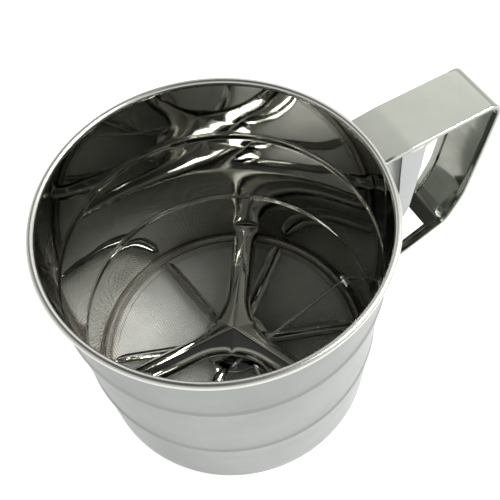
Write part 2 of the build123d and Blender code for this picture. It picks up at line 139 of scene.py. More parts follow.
@dataclass
class Graph:
    """Short ways to add and join the nodes of one shader tree."""

    tree: bpy.types.NodeTree

    def feed(self, socket: bpy.types.NodeSocket, value: object) -> None:
        """Links another socket to this one, or sets a plain value on it."""
        if isinstance(value, bpy.types.NodeSocket):
            self.tree.links.new(value, socket)
        else:
            socket.default_value = value

    def node(self, kind: str, inputs: dict[str | int, object], **settings: object) -> bpy.types.Node:
        """Adds a node.

        Args:
            kind: node type without its "ShaderNode" prefix.
            inputs: socket or plain value for each named or numbered input.
            settings: the node's own properties.

        Returns:
            The new node.
        """
        node = self.tree.nodes.new("ShaderNode" + kind)
        for key, value in settings.items():
            setattr(node, key, value)
        for key, value in inputs.items():
            self.feed(node.inputs[key], value)
        return node

    def math(self, operation: str, *values: object, clamp: bool = False) -> bpy.types.NodeSocket:
        """Result of a Math node on sockets or plain numbers."""
        return self.node("Math", dict(enumerate(values)), operation=operation, use_clamp=clamp).outputs[0]

    def noise(self, vector: bpy.types.NodeSocket, scale: float, detail: float,
              rough: float) -> bpy.types.NodeSocket:
        """Value of a 3-D Noise node on a vector."""
        return self.node("TexNoise", {"Scale": scale, "Detail": detail, "Roughness": rough,
                                      "Vector": vector}).outputs[0]

    def mix(self, share: bpy.types.NodeSocket, first: object, second: object) -> bpy.types.NodeSocket:
        """Colour mix of two sockets or colours by a share."""
        colors = [c if isinstance(c, bpy.types.NodeSocket) else (*c, 1.0) for c in (first, second)]
        return self.node("Mix", {0: share, 6: colors[0], 7: colors[1]}, data_type="RGBA").outputs[2]


def new_group(name: str, inputs: Sequence[tuple[str, str, object]],
              outputs: Sequence[tuple[str, str]]) -> tuple[Graph, bpy.types.Node, bpy.types.Node]:
    """Makes an empty shader node group with its sockets.

    Args:
        name: group name.
        inputs: (name, value kind, default) rows.
        outputs: (name, value kind) rows.

    Returns:
        The group's graph, its input node and its output node.
    """
    tree = bpy.data.node_groups.new(name, "ShaderNodeTree")
    for label, kind, default in inputs:
        socket = tree.interface.new_socket(label, in_out="INPUT", socket_type="NodeSocket" + kind)
        if default is not None:
            socket.default_value = default
    for label, kind in outputs:
        tree.interface.new_socket(label, in_out="OUTPUT", socket_type="NodeSocket" + kind)
    return Graph(tree), tree.nodes.new("NodeGroupInput"), tree.nodes.new("NodeGroupOutput")


class Paintshop:
    """Builds each finish's material once and hands it out."""

    LONG = 0.04            # how much slower the scratches change along their lay
    STRETCH = {Lay.AROUND: (LONG, 1.0, 1.0), Lay.ALONG_X: (LONG, 1.0, 1.0),
               Lay.ALONG_Z: (1.0, 1.0, LONG), Lay.EVEN: (1.0, 1.0, 1.0)}
    ARC_R = 0.05           # radius in metres at which the arc is measured
    FINE = {"scale": 1.0, "detail": 2.0, "rough": 0.6}         # scratches
    SLOW = {"scale": 60.0, "detail": 4.0, "rough": 0.6}        # smudges
    WIDE = {"scale": 38.0, "detail": 1.0, "rough": 0.4}        # press waves

    def __init__(self) -> None:
        """Makes the shared groups."""
        self.around = self.around_group()
        self.grain = self.grain_group()
        self.done: dict[str, bpy.types.Material] = {}

    def around_group(self) -> bpy.types.ShaderNodeTree:
        """Group that turns Object coordinates into a place round the cup: (arc, radius, height).

        The arc is the angle times a fixed radius, so a pattern made long along
        its first axis runs round the cup like turning marks.
        """
        graph, start, stop = new_group("around_axis", [("Vector", "Vector", None)], [("Vector", "Vector")])
        x, y, z = graph.node("SeparateXYZ", {0: start.outputs[0]}).outputs
        arc_length = graph.math("MULTIPLY", graph.math("ARCTAN2", y, x), self.ARC_R)
        square = graph.math("ADD", graph.math("MULTIPLY", x, x), graph.math("MULTIPLY", y, y))
        radius = graph.math("POWER", square, 0.5)
        graph.feed(stop.inputs[0], graph.node("CombineXYZ", {0: arc_length, 1: radius, 2: z}).outputs[0])
        return graph.tree

    def grain_group(self) -> bpy.types.ShaderNodeTree:
        """Group of fine stretched scratches and soft smudges.

        Scratches are noise on coordinates multiplied by Stretch; smudges are slow
        noise with its contrast raised.  Height sums scratches and slow waves.
        """
        graph, start, stop = new_group(
            "metal_grain", [("Vector", "Vector", None), ("Stretch", "Vector", (1.0, 1.0, 1.0)),
                            ("Scratch", "Float", 1.0), ("Wave", "Float", 0.0)],
            [("Grain", "Float"), ("Smudge", "Float"), ("Height", "Float")])
        vector = start.outputs["Vector"]
        stretched = graph.node("VectorMath", {0: vector, 1: start.outputs["Stretch"]}, operation="MULTIPLY")
        fine = graph.noise(stretched.outputs[0], **self.FINE)
        slow = graph.noise(vector, **self.SLOW)
        wide = graph.noise(vector, **self.WIDE)
        contrast = graph.math("MULTIPLY_ADD", slow, 3.0, -1.05)
        smudge = graph.math("SMOOTH_MIN", 1.0, graph.math("MAXIMUM", 0.0, contrast), 0.1)
        height = graph.math("ADD", graph.math("MULTIPLY", fine, start.outputs["Scratch"]),
                            graph.math("MULTIPLY", wide, start.outputs["Wave"]))
        for label, value in (("Grain", fine), ("Smudge", smudge), ("Height", height)):
            graph.feed(stop.inputs[label], value)
        return graph.tree

    def look(self, graph: Graph, finish: Finish) -> tuple[bpy.types.NodeSocket, ...]:
        """Places one finish in a material's tree.

        Args:
            graph: the material's graph.
            finish: the finish.

        Returns:
            The sockets of its colour, roughness and height.
        """
        vector = graph.node("TexCoord", {}).outputs["Object"]
        if finish.lay is Lay.AROUND:
            vector = graph.node("Group", {0: vector}, node_tree=self.around).outputs[0]
        stretch = [s * finish.grain / MM for s in self.STRETCH[finish.lay]]
        grain = graph.node("Group", {}, node_tree=self.grain)
        for label, value in (("Vector", vector), ("Stretch", stretch), ("Scratch", finish.bump),
                             ("Wave", finish.waves)):
            graph.feed(grain.inputs[label], value)
        smudge = grain.outputs["Smudge"]
        color = graph.mix(smudge, finish.color, tuple(c * (1.0 - finish.dull) for c in finish.color))
        haze = graph.math("MULTIPLY_ADD", grain.outputs["Grain"], 0.5, graph.math("MULTIPLY", smudge, 0.5))
        rough = graph.node("MapRange", {"To Min": finish.rough, "To Max": finish.rough + finish.smudge,
                                        "Value": haze}).outputs[0]
        return color, rough, grain.outputs["Height"]

    def material(self, finish: Finish, others: tuple[Finish, ...] = (),
                 mask: str = "") -> bpy.types.Material:
        """Material of one finish, or of several that meet where an attribute says.

        Args:
            finish: finish where the attribute is 0.
            others: finishes where the attribute is 1, 2 and so on.
            mask: name of the piece's float attribute.

        Returns:
            The material, built once per name.
        """
        name = "_".join(item.name for item in (finish, *others))
        if name in self.done:
            return self.done[name]
        mat = bpy.data.materials.new(name)
        mat.use_nodes = True
        graph = Graph(mat.node_tree)
        color, *values = self.look(graph, finish)
        for level, item in enumerate(others):
            side = graph.node("Attribute", {}, attribute_name=mask).outputs["Fac"]
            share = graph.math("SUBTRACT", side, float(level), clamp=True)
            keep = graph.math("SUBTRACT", 1.0, share)
            next_color, *next_values = self.look(graph, item)
            color = graph.mix(share, color, next_color)
            values = [graph.math("ADD", graph.math("MULTIPLY", old, keep), graph.math("MULTIPLY", new, share))
                      for old, new in zip(values, next_values)]
        rough, height = values
        bump = graph.node("Bump", {"Distance": MM, "Strength": 1.0, "Height": height})
        bsdf = mat.node_tree.nodes["Principled BSDF"]
        for label, value in (("Metallic", 1.0), ("Base Color", color), ("Roughness", rough),
                             ("Normal", bump.outputs[0])):
            graph.feed(bsdf.inputs[label], value)
        self.done[name] = mat
        return mat


def quads(rows: int, cols: int, wrap_rows: bool = False, wrap_cols: bool = False,
          keep: Array | None = None) -> Array:
    """Index rows of the quads of a grid of points.

    Args:
        rows: points along the first parameter.
        cols: points along the second parameter.
        wrap_rows: join the last row to the first.
        wrap_cols: join the last column to the first.
        keep: mask of the cells to keep, shaped like the cells.

    Returns:
        Array of shape (cells, 4).
    """
    i = np.arange(rows if wrap_rows else rows - 1)
    j = np.arange(cols if wrap_cols else cols - 1)
    a, b = np.meshgrid(i, j, indexing="ij")
    a2, b2 = (a + 1) % rows, (b + 1) % cols
    cells = np.stack([a * cols + b, a2 * cols + b, a2 * cols + b2, a * cols + b2], -1)
    return cells[keep] if keep is not None else cells.reshape(-1, 4)


def band(steps: Array, stride: int, first: int, second: int) -> Array:
    """Quads between two lines of points, whose indices are first and second plus step times stride."""
    here, there = steps * stride, (steps + 1) * stride
    return np.stack([here + first, there + first, there + second, here + second], -1)


def opening(shape: tuple[int, int], rows: tuple[int, int], front: Sequence[int],
            back: Sequence[int]) -> tuple[Array, list[Array]]:
    """Hole through a two-sided grid.

    The cells between the front columns and between the back columns are left out
    from one row to the other, and faces from front to back close the hole's sides.

    Args:
        shape: cells along and across, the second also being the points across.
        rows: first and last row of the hole.
        front: columns on one side of the sheet, in rising order.
        back: the columns that lie behind them.

    Returns:
        The mask of the cells to keep and the faces of the sides.
    """
    keep = np.ones(shape, bool)
    keep[rows[0]:rows[1], [*front[:-1], *back[1:]]] = False
    steps, m = np.arange(*rows), shape[1]
    sides = [band(steps, m, front[k], back[k]) for k in (0, -1)]
    across = np.array([front[:-1], front[1:], back[1:], back[:-1]]).T
    return keep, [*sides, *(row * m + across for row in rows)]


def new_object(name: str, data: bpy.types.ID | None) -> bpy.types.Object:
    """Adds an object to the scene."""
    obj = bpy.data.objects.new(name, data)
    bpy.context.scene.collection.objects.link(obj)
    return obj


@dataclass
class Sheaf:
    """Points and faces gathered from several surfaces into one mesh."""

    points: list[Array] = field(default_factory=list)
    faces: list[list[int]] = field(default_factory=list)
    count: int = 0

    def add(self, points: Array, *faces: Array) -> None:
        """Adds a surface.

        Args:
            points: array (..., 3) in millimetres.
            faces: index arrays into those points, one row per face.
        """
        flat = np.asarray(points, float).reshape(-1, 3)
        self.points.append(flat)
        for block in faces:
            self.faces.extend((np.asarray(block) + self.count).tolist())
        self.count += len(flat)

    def tube(self, rings: Array, keep: Array | None = None, sides: Sequence[Array] = ()) -> None:
        """Adds rings of points joined into a tube with capped ends.

        Args:
            rings: array (stations, ring, 3).
            keep: mask of the cells to keep.
            sides: faces that close an opening.
        """
        n, m = rings.shape[:2]
        caps = np.stack([np.arange(m)[::-1], np.arange(m) + (n - 1) * m])
        self.add(rings, quads(n, m, wrap_cols=True, keep=keep), *sides, caps)

    def solid(self, name: str, sharp: float = 38.0, merge: float = 1e-6,
              values: Callable[[Array], Array] | None = None, label: str = "") -> bpy.types.Object:
        """Makes the mesh object, welded, with outward faces.

        Args:
            name: object name.
            sharp: angle in degrees past which an edge is sharp.
            merge: weld distance in metres.
            values: function of the points (mm) that gives an attribute's values.
            label: that attribute's name.

        Returns:
            The new object, linked to the scene.
        """
        mesh = bpy.data.meshes.new(name)
        mesh.from_pydata(np.concatenate(self.points) * MM, [], self.faces)
        work = bmesh.new()
        work.from_mesh(mesh)
        bmesh.ops.remove_doubles(work, verts=work.verts, dist=merge)
        loose = [v for v in work.verts if not v.link_faces]
        bmesh.ops.delete(work, geom=loose, context="VERTS")
        bmesh.ops.recalc_face_normals(work, faces=work.faces)
        work.to_mesh(mesh)
        work.free()
        mesh.shade_smooth()
        mesh.set_sharp_from_angle(angle=math.radians(sharp))
        if values is not None:
            flat = np.empty(len(mesh.vertices) * 3)
            mesh.vertices.foreach_get("co", flat)
            layer = mesh.attributes.new(label, "FLOAT", "POINT")
            layer.data.foreach_set("value", values(flat.reshape(-1, 3) / MM).astype(np.float32))
        return new_object(name, mesh)


def circle(n: int) -> Array:
    """n evenly spaced angles round a full turn, in radians."""
    return np.linspace(0, 2 * np.pi, n, endpoint=False)


def smooth_step(t: Array) -> Array:
    """Held to 0..1, then t squared times (3 - 2t)."""
    t = np.clip(t, 0, 1)
    return t * t * (3 - 2 * t)


def arc(cx: float, cy: float, r: float, a0: float, a1: float, n: int) -> Array:
    """n points on a circle from a0 to a1 degrees: centre plus r times (cos, sin)."""
    a = np.radians(np.linspace(a0, a1, n))
    return np.stack([cx + r * np.cos(a), cy + r * np.sin(a)], -1)


def run(a: Sequence[float], b: Sequence[float], n: int) -> Array:
    """n evenly spaced points from a to b."""
    t = np.linspace(0.0, 1.0, n)[:, None]
    return np.asarray(a)[None] * (1 - t) + np.asarray(b)[None] * t


def spin(degrees: float) -> Array:
    """Matrix that turns rows of points about Z when they are multiplied by it."""
    c, s = math.cos(math.radians(degrees)), math.sin(math.radians(degrees))
    return np.array([[c, s, 0], [-s, c, 0], [0, 0, 1]])


def tangents(path: Array) -> Array:
    """Unit directions along a path, from the differences of its neighbouring points."""
    way = np.gradient(path, axis=0)
    return way / np.linalg.norm(way, axis=1)[:, None]


def lathe(profile: Array, angles: Array) -> Array:
    """Turns a profile of (radius, height) rows about Z: (r cos a, r sin a, z) for each angle a."""
    a = angles[:, None]
    r, z = profile[None, :, 0], profile[None, :, 1]
    return np.stack([r * np.cos(a), r * np.sin(a), z + 0.0 * a], -1)


def ring_skin(name: str, grid: Array, sharp: float = 38.0) -> bpy.types.Object:
    """Object whose skin is a grid of points that closes on itself both ways."""
    sheaf = Sheaf()
    sheaf.add(grid, quads(*grid.shape[:2], True, True))
    return sheaf.solid(name, sharp)


def turned(name: str, profile: Array, segments: int = 64, centre: Pair = (0.0, 0.0)) -> bpy.types.Object:
    """Closed profile turned round a vertical axis.

    Args:
        name: object name.
        profile: closed loop of (radius, height) rows, first row not repeated.
        segments: steps round the axis.
        centre: where the axis stands.

    Returns:
        The new object.
    """
    return ring_skin(name, lathe(np.asarray(profile), circle(segments)) + np.array([*centre, 0.0]))


def washer_profile(r0: float, r1: float, z0: float, z1: float, edge: float = 0.12) -> Array:
    """Closed section of a flat ring, its edges broken by at most a third of its sides."""
    e = min(edge, (z1 - z0) / 3, (r1 - r0) / 3)
    return np.array([(r0, z0 + e), (r0 + e, z0), (r1 - e, z0), (r1, z0 + e),
                     (r1, z1 - e), (r1 - e, z1), (r0 + e, z1), (r0, z1 - e)])


def wire_rings(path: Array, radius: float, side: Array, sides: int) -> Array:
    """Rings of a round wire.

    A ring's point is the path's point plus the radius times (cos, sin) of its
    angle along the side direction and along tangent crossed with side.

    Args:
        path: points (n, 3).
        radius: the wire's radius.
        side: unit vector square to the path, or one for each point.
        sides: points round the wire.

    Returns:
        Array (n, sides, 3).
    """
    a = circle(sides)[None, :, None]
    side = np.broadcast_to(side, path.shape)
    normal = np.cross(tangents(path), side)
    return path[:, None] + radius * (np.cos(a) * side[:, None] + np.sin(a) * normal[:, None])


def round_path(points: Array, radii: Sequence[float], per_corner: int, step: float) -> Array:
    """Straight runs with an arc at each inner corner.

    At a corner with half angle h between its runs, the arc touches them at
    r / tan(h) from the corner, and its centre is r / sin(h) along the bisector.

    Args:
        points: corner points (n, d).
        radii: arc radius of each inner corner.
        per_corner: points on each arc.
        step: longest run between points on the straights.

    Returns:
        Points along the rounded path.
    """
    out = [points[:1]]
    for i, r in enumerate(radii, start=1):
        corner = points[i]
        u, v = points[i - 1] - corner, points[i + 1] - corner
        u, v = u / np.linalg.norm(u), v / np.linalg.norm(v)
        h = math.acos(float(np.clip(u @ v, -1, 1))) / 2
        way = (u + v) / np.linalg.norm(u + v)
        side = u - (u @ way) * way
        side /= np.linalg.norm(side)
        half = math.pi / 2 - h
        a = np.linspace(half, -half, per_corner)[:, None]
        bend = corner + way * r / math.sin(h) - r * np.cos(a) * way + r * np.sin(a) * side
        count = max(2, int(np.linalg.norm(bend[0] - out[-1][-1]) / step) + 1)
        out += [run(out[-1][-1], bend[0], count)[1:-1], bend]
    count = max(2, int(np.linalg.norm(points[-1] - out[-1][-1]) / step) + 1)
    out.append(run(out[-1][-1], points[-1], count)[1:])
    return np.concatenate(out)


class Bench:
    """Puts finished pieces on their bodies with a material."""

    def __init__(self, paint: Paintshop) -> None:
        """Keeps the paint shop and an empty list."""
        self.paint = paint
        self.made: list[str] = []

    def fit(self, piece: bpy.types.Object, body: str, finish: Finish, *nodes: str, slot: str = "",
            others: tuple[Finish, ...] = (), mask: str = "") -> bpy.types.Object:
        """Dresses a piece and makes it ride.

        Args:
            piece: the new object.
            body: CAD body it moves with.
            finish: its finish.
            nodes: CAD nodes it stands for.
            slot: the record's material slot, if it isn't the finish's own; not used.
            others: finishes where the mask attribute is 1, 2 and so on.
            mask: that attribute's name.

        Returns:
            The same object.
        """
        piece.data.materials.clear()
        piece.data.materials.append(self.paint.material(finish, others, mask))
        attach(piece, body)
        if nodes:
            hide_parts(*nodes)
        self.made.append(piece.name)
        LOG.info("%-16s rides on %-8s %6d faces", piece.name, body, len(piece.data.polygons))
        return piece


@dataclass
class Cup:
    """Drawn cup: wall with two beads, rolled rim, base lip, rod slot and its eyelet."""

    height: float
    rim_r: float
    curl_r: float = 1.1
    sheet: float = 0.4
    lip_r: float = 45.0
    beads: Pair = (30.6, 64.2)
    bead_h: float = 0.5
    bead_w: float = 4.0
    eye_y: float = -0.98
    eye_w: float = 5.0
    eye_h: float = 2.6
    foot_r: float = 0.6
    heel_r: float = 0.5
    slot_up: float = 1.7
    slot_gap: float = 0.1
    curl_step: float = 0.7     # the wall's last station stands this far under the curl
    segments: int = 372
    slot_cells: int = 6
    grommet: tuple[Pair, ...] = ((0.0, -0.42), (0.95, -0.42), (1.05, -0.2), (0.52, -0.16),
                                 (0.52, 0.56), (1.05, 0.60), (0.95, 0.82), (0.0, 0.82))

    @property
    def bore_r(self) -> float:
        """Inner radius of the wall."""
        return self.rim_r - 2 * self.curl_r

    @property
    def wall_r(self) -> float:
        """Outer radius of the wall."""
        return self.bore_r + self.sheet

    def swell(self, z: Array) -> Array:
        """How far the beads push the wall out: bead height times cos squared over the bead's width."""
        out = np.zeros_like(z)
        for mid in self.beads:
            t = np.clip(np.abs(z - mid) / (self.bead_w / 2), 0, 1)
            out += self.bead_h * np.cos(t * np.pi / 2) ** 2
        return out

    def heights(self, low: float, high: float) -> Array:
        """Wall stations, close together on the beads and with lines at the slot's edges.

        Args:
            low: lowest station.
            high: highest station.

        Returns:
            The heights in rising order.
        """
        z = [np.array([low, ROD_Z - self.slot_up, ROD_Z + self.slot_up, high - self.curl_step, high])]
        z += [mid + np.linspace(-0.5, 0.5, 15) * self.bead_w for mid in self.beads]
        z.append(np.linspace(low + 2, high - 2, 9)[[2, 4, 6]])
        return np.unique(np.round(np.concatenate(z), 4))

    def profile(self) -> tuple[Array, Array]:
        """Closed section of the shell.

        Returns:
            The (radius, height) rows and a mask of the rows at the slot's edges.
        """
        mid_r, mid_z = self.bore_r + self.curl_r, self.height - self.curl_r
        meet = math.degrees(math.asin((self.wall_r - mid_r) / self.curl_r))
        top_out = mid_z - math.sqrt(self.curl_r ** 2 - (mid_r - self.wall_r) ** 2)
        heel_z = self.sheet + self.heel_r
        z_out = self.heights(self.foot_r, top_out)
        z_in = self.heights(heel_z, mid_z)[::-1]
        outer = np.stack([self.wall_r + self.swell(z_out), z_out], -1)
        inner = np.stack([self.bore_r + self.swell(z_in), z_in], -1)
        foot = arc(self.wall_r - self.foot_r, self.foot_r, self.foot_r, -90, 0, 7)[:-1]
        heel = arc(self.bore_r - self.heel_r, heel_z, self.heel_r, 0, -90, 6)[1:]
        curl = arc(mid_r, mid_z, self.curl_r, -90 + meet, 180, 34)[1:-1]
        lip = np.array([(self.lip_r, self.sheet), (self.lip_r, 0.0)])
        rows = np.concatenate([lip[1:], foot, outer, curl, inner, heel, lip[:1]])
        return rows, np.isclose(np.abs(rows[:, 1] - ROD_Z), self.slot_up)

    def shell(self) -> bpy.types.Object:
        """Lathe of the profile, with the cells of the rod slot left out and its four sides closed."""
        rows, at_slot = self.profile()
        lo, hi = (math.asin((self.eye_y + side * (self.eye_w / 2 + self.slot_gap)) / self.wall_r)
                  for side in (-1, 1))
        rest = np.linspace(hi, lo + 2 * np.pi, self.segments)
        angles = np.concatenate([np.linspace(lo, hi, self.slot_cells + 1)[:-1], rest[:-1]])
        marks = np.flatnonzero(at_slot)
        keep, sides = opening((len(angles), len(rows)), (0, self.slot_cells), marks[:2], marks[:1:-1])
        sheaf = Sheaf()
        sheaf.add(lathe(rows, angles), quads(*keep.shape, True, True, keep), *sides)

        def inside(points: Array) -> Array:
            """2 on the rolled rim, which takes the painted lighter colour, 1 on the bright inner face and 0
            outside, by radius and height.
            """
            r = np.hypot(points[:, 0], points[:, 1]) - self.swell(points[:, 2])
            middle = self.bore_r + self.sheet / 2
            side = (r < middle) & (points[:, 2] < self.height - self.curl_r + 0.05)
            on_curl = points[:, 2] > self.height - 1.6 * self.curl_r
            return np.where(on_curl, 2.0, side & (points[:, 2] > 0.2))
        return sheaf.solid("cup_sheet", 40.0, values=inside, label="inside")

    def eyelet(self) -> bpy.types.Object:
        """Oblong grommet: an oblong outline carried round a small section, bent to the wall."""
        section = np.array(self.grommet)
        a = circle(48)
        flat = (self.eye_w - self.eye_h) / 2
        cy = np.where(np.cos(a) >= 0, flat, -flat)
        r = self.eye_h / 2 + section[None, :, 0]
        y = self.eye_y + cy[:, None] + r * np.cos(a)[:, None]
        z = ROD_Z + r * np.sin(a)[:, None]
        x = np.sqrt(self.bore_r ** 2 - y ** 2) + section[None, :, 1]
        return ring_skin("rod_grommet", np.stack([x, y, z], -1), 30.0)

    def build(self, bench: Bench) -> None:
        """Makes and fits the cup's pieces."""
        # The rolled rim (mask value 2) takes the lighter finish, which is painted light.
        bench.fit(self.shell(), "cup", SATIN_OUT, "cup_shell", others=(BRIGHT_IN, RIM_PAINTED_LIGHT), mask="inside")
        bench.fit(self.eyelet(), "cup", PIN_STEEL, "wall_eyelet")


@dataclass
class Screen:
    """Woven screen with its turned-up edge, seat ring, hoop and collar."""

    bore_r: float
    seat_z: float = 1.6
    pitch: float = 0.86
    wire_r: float = 0.15
    flat_r: float = 47.2
    edge_r: float = 48.3
    rise: float = 1.35
    weave_up: float = 0.22
    lip_r: float = 45.0
    lip_z: float = 0.4
    seat_top: float = 3.0
    hoop_r: float = 0.25
    hoop_in: float = 0.475
    hoop_up: float = 0.65
    collar: tuple[float, float, float] = (0.5, 3.6, 4.2)     # width, low and high

    def floor(self, r: Array) -> Array:
        """Height of the screen's middle: flat, then rising by a smooth step to the edge."""
        share = (r - self.flat_r) / (self.edge_r - self.flat_r)
        return self.seat_z + self.weave_up + self.rise * smooth_step(share)

    def wires(self, name: str, along_x: bool) -> bpy.types.Object:
        """One set of parallel wires.

        Each wire is a three-sided tube whose height is the screen's height plus
        the wire radius times cos(pi x / pitch), with the sign turned over on
        every second wire, so the two sets pass over and under each other.

        Args:
            name: object name.
            along_x: whether the wires run along X or along Y.

        Returns:
            The new object.
        """
        count = int(self.edge_r / self.pitch)
        j = np.arange(-count, count + 1)
        k = np.arange(-2 * count - 2, 2 * count + 3)
        across, along = np.meshgrid(j * self.pitch, k * self.pitch / 2, indexing="ij")
        r = np.hypot(across, along)
        phase = np.where((j % 2 == 0) ^ along_x, 1.0, -1.0)[:, None]
        z = self.floor(r) + phase * self.wire_r * np.cos(np.pi * along / self.pitch)
        ring = np.radians([90.0, 210.0, 330.0])
        y3 = across[..., None] + self.wire_r * np.cos(ring)
        z3 = z[..., None] + self.wire_r * np.sin(ring)
        x3 = np.broadcast_to(along[..., None], y3.shape)
        grid = np.stack([x3, y3, z3] if along_x else [y3, x3, z3], -1)
        n, m = r.shape
        inside = r <= self.edge_r
        wire, place = np.nonzero(inside[:, :-1] & inside[:, 1:])
        base = ((wire * m + place) * 3)[:, None]
        s, s2 = np.arange(3), np.array([1, 2, 0])
        faces = np.stack([base + s, base + 3 + s, base + 3 + s2, base + s2], -1).reshape(-1, 4)
        has = inside.sum(1) > 1
        first = (np.arange(n) * m + inside.argmax(1))[has] * 3
        last = (np.arange(n) * m + m - 1 - inside[:, ::-1].argmax(1))[has] * 3
        sheaf = Sheaf()
        sheaf.add(grid, faces, first[:, None] + s[::-1], last[:, None] + s)

        def turned_up(points: Array) -> Array:
            """1 on the turned-up edge, where the wires take painted shade, by radius."""
            return np.hypot(points[:, 0], points[:, 1]) > self.flat_r
        return sheaf.solid(name, 75.0, values=turned_up, label="turned_up")

    def build(self, bench: Bench) -> None:
        """Makes and fits the screen's pieces."""
        for name, along_x, nodes in (("screen_warp", True, ("screen_mesh",)), ("screen_weft", False, ())):
            bench.fit(self.wires(name, along_x), "cup", WIRE_STEEL, *nodes, others=(WIRE_EDGE_SHADE,),
                      mask="turned_up")
        under = self.seat_z - 0.05
        seat = [(self.lip_r, self.lip_z), (self.bore_r, self.lip_z), (self.bore_r, self.seat_top - 0.05),
                (self.bore_r - 0.25, self.seat_top), (self.flat_r + 0.1, under), (self.lip_r, under)]
        hoop = arc(self.flat_r - self.hoop_in, self.seat_z + self.hoop_up, self.hoop_r, 0, 360, 11)[:-1]
        width, low, high = self.collar
        collar = washer_profile(self.bore_r - width, self.bore_r, low, high, 0.15)
        # The hoop and collar take the dark ring finish, which is painted shade; the seat keeps the plain ring
        # steel.
        for name, profile, finish, node in (("seat_ring", seat, SEAT_STEEL, "screen_seat"),
                                            ("hoop_wire", hoop, RING_SHADE, "screen_hoop"),
                                            ("collar_ring", collar, RING_SHADE, "screen_collar")):
            bench.fit(turned(name, profile, 240), "cup", finish, node)


@dataclass
class Bridge:
    """Three-armed pressed bridge, ridged along each arm, with a down-turned foot on each arm."""

    bore_r: float
    apex_z: float = 16.4
    end_z: float = 11.9
    half_w: float = 4.6
    flare: float = 5.0
    flare_from: float = 38.5
    flare_l: float = 8.8
    web_r: float = 8.8
    angles: tuple[float, ...] = (55.0, 175.0, 295.0)
    sheet: float = 0.8
    drop: float = 0.42
    ridge: float = 0.22
    foot: float = 4.6
    bend_r: float = 1.8
    roll: float = 1.5
    roll_w: float = 2.4
    fade_l: float = 6.0
    web_steps: int = 10
    across: int = 25
    boss: tuple[Pair, ...] = ((0.0, 13.4), (4.3, 13.4), (4.6, 13.7), (4.4, 14.3), (0.9, 15.4), (0.0, 15.4))

    def half_width(self, x: Array) -> Array:
        """Half width: bisector line, then a round corner, then straight, then a flare.

        Args:
            x: distances from the middle.

        Returns:
            The half width at each of them.
        """
        rise, slope = math.sin(math.radians(60)), math.tan(math.radians(60))
        rc = (self.web_r * rise - self.half_w) / (1 - rise)
        far = self.web_r + rc
        cx, cy = far / 2, far * rise
        bend = cy - np.sqrt(np.maximum(rc ** 2 - (np.minimum(x, cx) - cx) ** 2, 0))
        w = np.where(x < self.web_r / 2, x * slope, bend)
        return w + (self.flare - self.half_w) * smooth_step((x - self.flare_from) / self.flare_l)

    def arm(self, sheaf: Sheaf, angle: float) -> None:
        """One arm: a section that falls off its ridge, carried along a path that bends down at the wall.

        The section's fall at y is drop times (sqrt(y^2 + ridge^2) - ridge), plus
        a rolled edge, and fades to flat on the foot.

        Args:
            sheaf: gathers the arm's surfaces.
            angle: direction of the arm in degrees.
        """
        x1 = self.web_r * 0.5
        slope = (self.apex_z - self.end_z) / self.bore_r
        top = self.bore_r - self.bend_r
        flat = np.concatenate([np.linspace(0, x1, self.web_steps), np.linspace(x1, 20, 22)[1:],
                               np.linspace(20, top, 24)[1:]])
        line = np.stack([flat, self.apex_z - slope * flat], -1)
        corner = arc(top, line[-1, 1] - self.bend_r, self.bend_r, 90, 0, 9)[1:]
        foot = run(corner[-1], (self.bore_r, self.end_z - self.foot), 4)[1:]
        path = np.concatenate([line, corner, foot])
        normal = tangents(path)[:, ::-1] * np.array([-1.0, 1.0])
        normal[:len(flat) - 2] = (0.0, 1.0)
        half = self.half_width(np.minimum(path[:, 0], flat[-1]))[:, None]
        s = np.linspace(-1, 1, self.across)
        y = half * (np.sin(s * np.pi / 2) + s)[None, :] / 2
        fade = np.clip((self.bore_r - path[:, 0]) / self.fade_l, 0, 1)[:, None]
        edge = np.clip((np.abs(y) - half + self.roll_w) / self.roll_w, 0, 1) ** 2
        ridged = self.drop * (np.sqrt(y ** 2 + self.ridge ** 2) - self.ridge)
        fall = (ridged + self.roll * edge * (path[:, :1] > x1)) * fade

        def place(off: Array) -> Array:
            """Points at an offset along the path's normal."""
            p = path[:, None, :] + normal[:, None, :] * off[..., None]
            return np.stack([p[..., 0], y, p[..., 1]], -1)
        grid = np.stack([place(-fall), place(-fall - self.sheet)])
        n, m = y.shape
        k = n * m
        steps = np.arange(self.web_steps - 1, n - 1)
        left, right = band(steps, m, 0, k), band(steps, m, m - 1, k + m - 1)
        end = band(np.arange(m - 1), 1, k - m, 2 * k - m)
        skin = quads(n, m)
        sheaf.add(grid @ spin(angle), skin, skin[:, ::-1] + k, left, right, end)

    def build(self, bench: Bench) -> None:
        """Makes and fits the bridge and the boss under it."""
        sheaf = Sheaf()
        for angle in self.angles:
            self.arm(sheaf, angle)
        bench.fit(sheaf.solid("bridge_arms", 50.0, merge=2e-6), "cup", BRIDGE_STEEL, "spider_bridge")
        bench.fit(turned("bridge_boss", self.boss), "cup", BRIDGE_STEEL)


